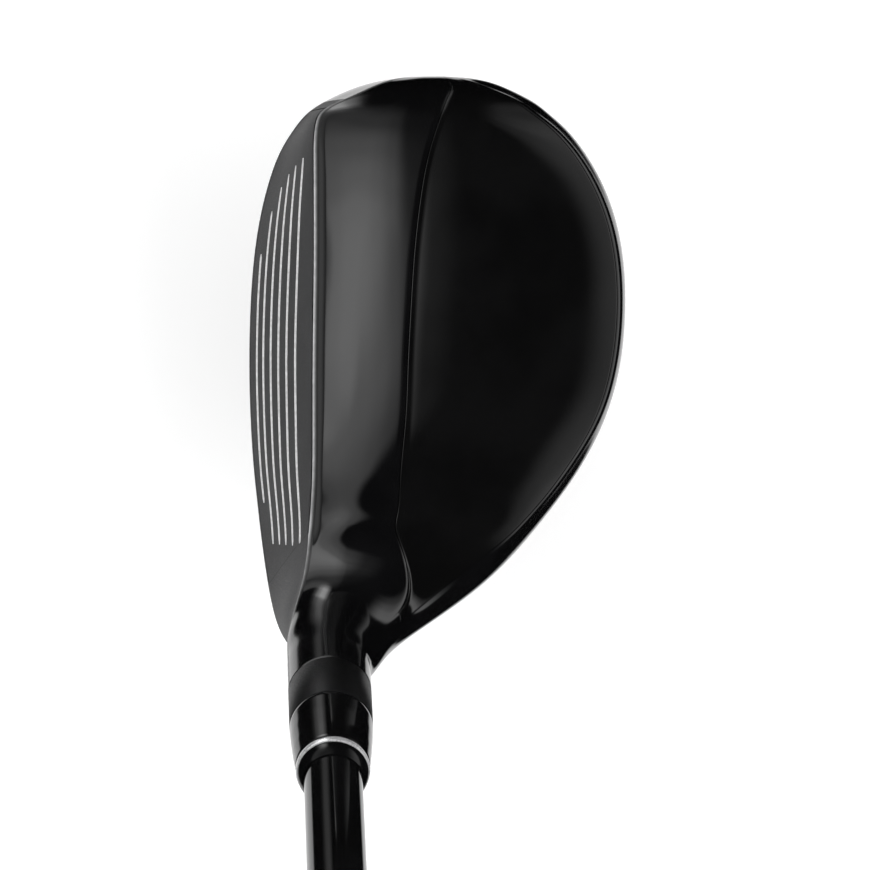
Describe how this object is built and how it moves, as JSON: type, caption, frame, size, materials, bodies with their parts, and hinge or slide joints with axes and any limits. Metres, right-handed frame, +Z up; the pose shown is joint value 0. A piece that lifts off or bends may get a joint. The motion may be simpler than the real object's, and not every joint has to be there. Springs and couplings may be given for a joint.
{
  "type": "hybrid golf club",
  "caption": "Right-handed hybrid golf club with a hollow head, a bonded crown panel, grooved face plate, releasable loft sleeve, tapered shaft and rubber grip.",
  "frame": {"origin": "centre of the flat rest patch on the sole, on the ground, with the club at address", "axes": "+Z up, +X from heel to toe, +Y towards the face; the shaft leans over the heel towards -X at the 60 degree lie"},
  "size_m": [0.6011, 0.0632, 0.8971],
  "materials": {
    "head_body": "gloss black paint over cast steel",
    "face_plate": "matte dark grey, bead blasted",
    "crown_panel": "gloss black clear-coated carbon composite",
    "slot_insert": "matte dark urethane",
    "sole_weight": "satin, turned",
    "weight_washer": "plain",
    "weight_screw": "machined",
    "inner_weight": "sintered tungsten, dull",
    "hosel_bolt": "machined",
    "bolt_washer": "plain",
    "bolt_retainer": "plain",
    "loft_sleeve": "dark grey matte anodised",
    "ferrule": "polished black",
    "trim_ring": "polished silver",
    "ferrule_nose": "polished black",
    "shaft": "gloss black painted carbon composite",
    "tip_plug": "plain",
    "grip_tape": "paper tape",
    "grip_sleeve": "matte, textured",
    "grip_cap": "matte"
  },
  "bodies": {
    "shaft_assembly": {"shaft": "shaft", "tip_plug": "tip_plug", "loft_sleeve": "loft_sleeve", "ferrule": "ferrule", "trim_ring": "trim_ring", "ferrule_nose": "ferrule_nose", "grip_tape": "grip_tape", "grip_sleeve": "grip_sleeve", "grip_cap": "grip_cap"},
    "head": {"head_body": "head_body", "face_plate": "face_plate", "crown_panel": "crown_panel", "slot_insert": "slot_insert", "inner_weight": "inner_weight", "bolt_washer": "bolt_washer", "bolt_retainer": "bolt_retainer"},
    "bolt": {"hosel_bolt": "hosel_bolt"},
    "weight": {"sole_weight": "sole_weight", "weight_washer": "weight_washer"},
    "screw": {"weight_screw": "weight_screw"}
  },
  "joints": [
    {"name": "head_release", "type": "slide", "parent": "shaft_assembly", "child": "head", "axis": [0.5, 0, -0.866], "range_m": [0, 0.042]},
    {"name": "hosel_bolt_turn", "type": "hinge", "parent": "head", "child": "bolt", "pos_m": [-0.03298, 0.01778, 0.00606], "axis": [-0.5, 0, 0.866], "continuous": true},
    {"name": "weight_release", "type": "slide", "parent": "head", "child": "weight", "axis": [0, -0.1736, -0.9848], "range_m": [0, 0.012]},
    {"name": "weight_screw_turn", "type": "hinge", "parent": "weight", "child": "screw", "pos_m": [0.003, -0.0135, 0.0015], "axis": [0, -0.1736, -0.9848], "range_deg": [0, 5400]}
  ],
  "couplings": [
    {"joint": "weight_screw_turn", "follows": "weight_release", "rad_per_m": 7854}
  ]
}
